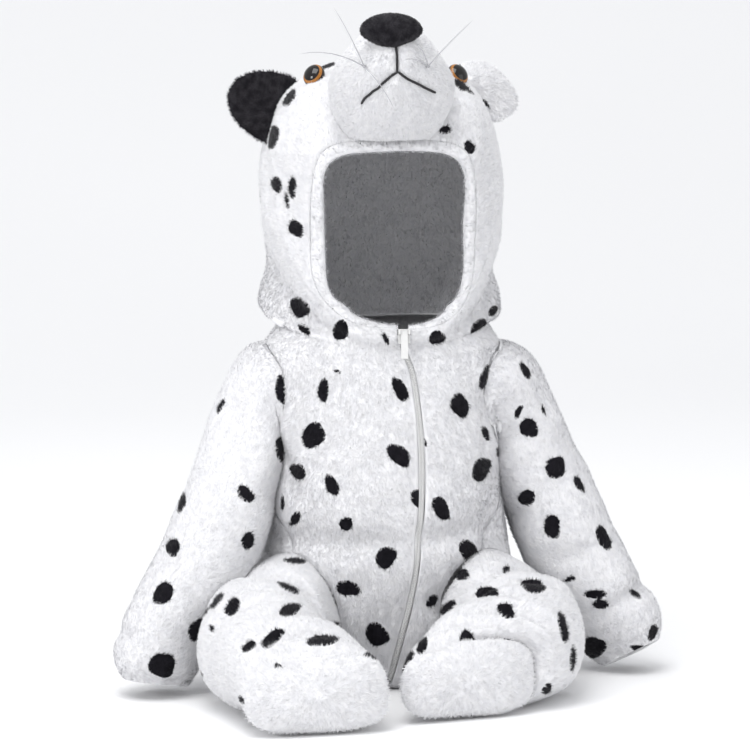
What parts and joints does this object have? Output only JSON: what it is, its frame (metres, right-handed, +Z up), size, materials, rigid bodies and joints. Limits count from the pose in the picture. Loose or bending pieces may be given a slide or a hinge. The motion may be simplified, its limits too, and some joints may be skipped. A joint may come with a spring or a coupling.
{
  "type": "hooded footed onesie",
  "caption": "Worn baby onesie in spotted snow leopard plush, seated form: animal hood with stuffed muzzle, ears and whiskers, long sleeves, closed feet, front zip with a swinging pull tab.",
  "frame": {"origin": "middle of the neck between the shoulders, where the wearer carries the garment", "axes": "+Z up, the front faces -Y, +X is the wearer's left"},
  "size_m": [0.4269, 0.3501, 0.521],
  "materials": {
    "spotted_plush": "short soft plush, white with black spots",
    "white_plush": "short soft plush, plain white",
    "black_plush": "short soft plush, black",
    "zip_white": "white moulded plastic and tape",
    "eye_plastic": "polished, dark pupil in an amber ring",
    "whisker_nylon": "clear white nylon strand"
  },
  "bodies": {
    "garment": {"front_right": "spotted_plush", "front_left": "spotted_plush", "back": "spotted_plush", "leg_right": "spotted_plush", "leg_left": "spotted_plush", "sleeve_right": "spotted_plush", "sleeve_left": "spotted_plush", "sole_right": "white_plush", "sole_left": "white_plush", "hood_right": "spotted_plush", "hood_left": "spotted_plush", "hood_lining": "white_plush", "muzzle": "spotted_plush", "nose": "black_plush", "eye_right": "eye_plastic", "eye_left": "eye_plastic", "ear_right_front": "black_plush", "ear_right_back": "spotted_plush", "ear_left_front": "black_plush", "ear_left_back": "spotted_plush", "zip_tape": "zip_white", "zip_slider": "zip_white", "whiskers_right": "whisker_nylon", "whiskers_left": "whisker_nylon"},
    "pull_tab": {"zip_pull": "zip_white"}
  },
  "joints": [
    {"name": "pull_tab_hinge", "type": "hinge", "parent": "garment", "child": "pull_tab", "pos_m": [0.01139, -0.08301, 0.00945], "axis": [-1, 0, 0], "range_deg": [0, 120]}
  ]
}
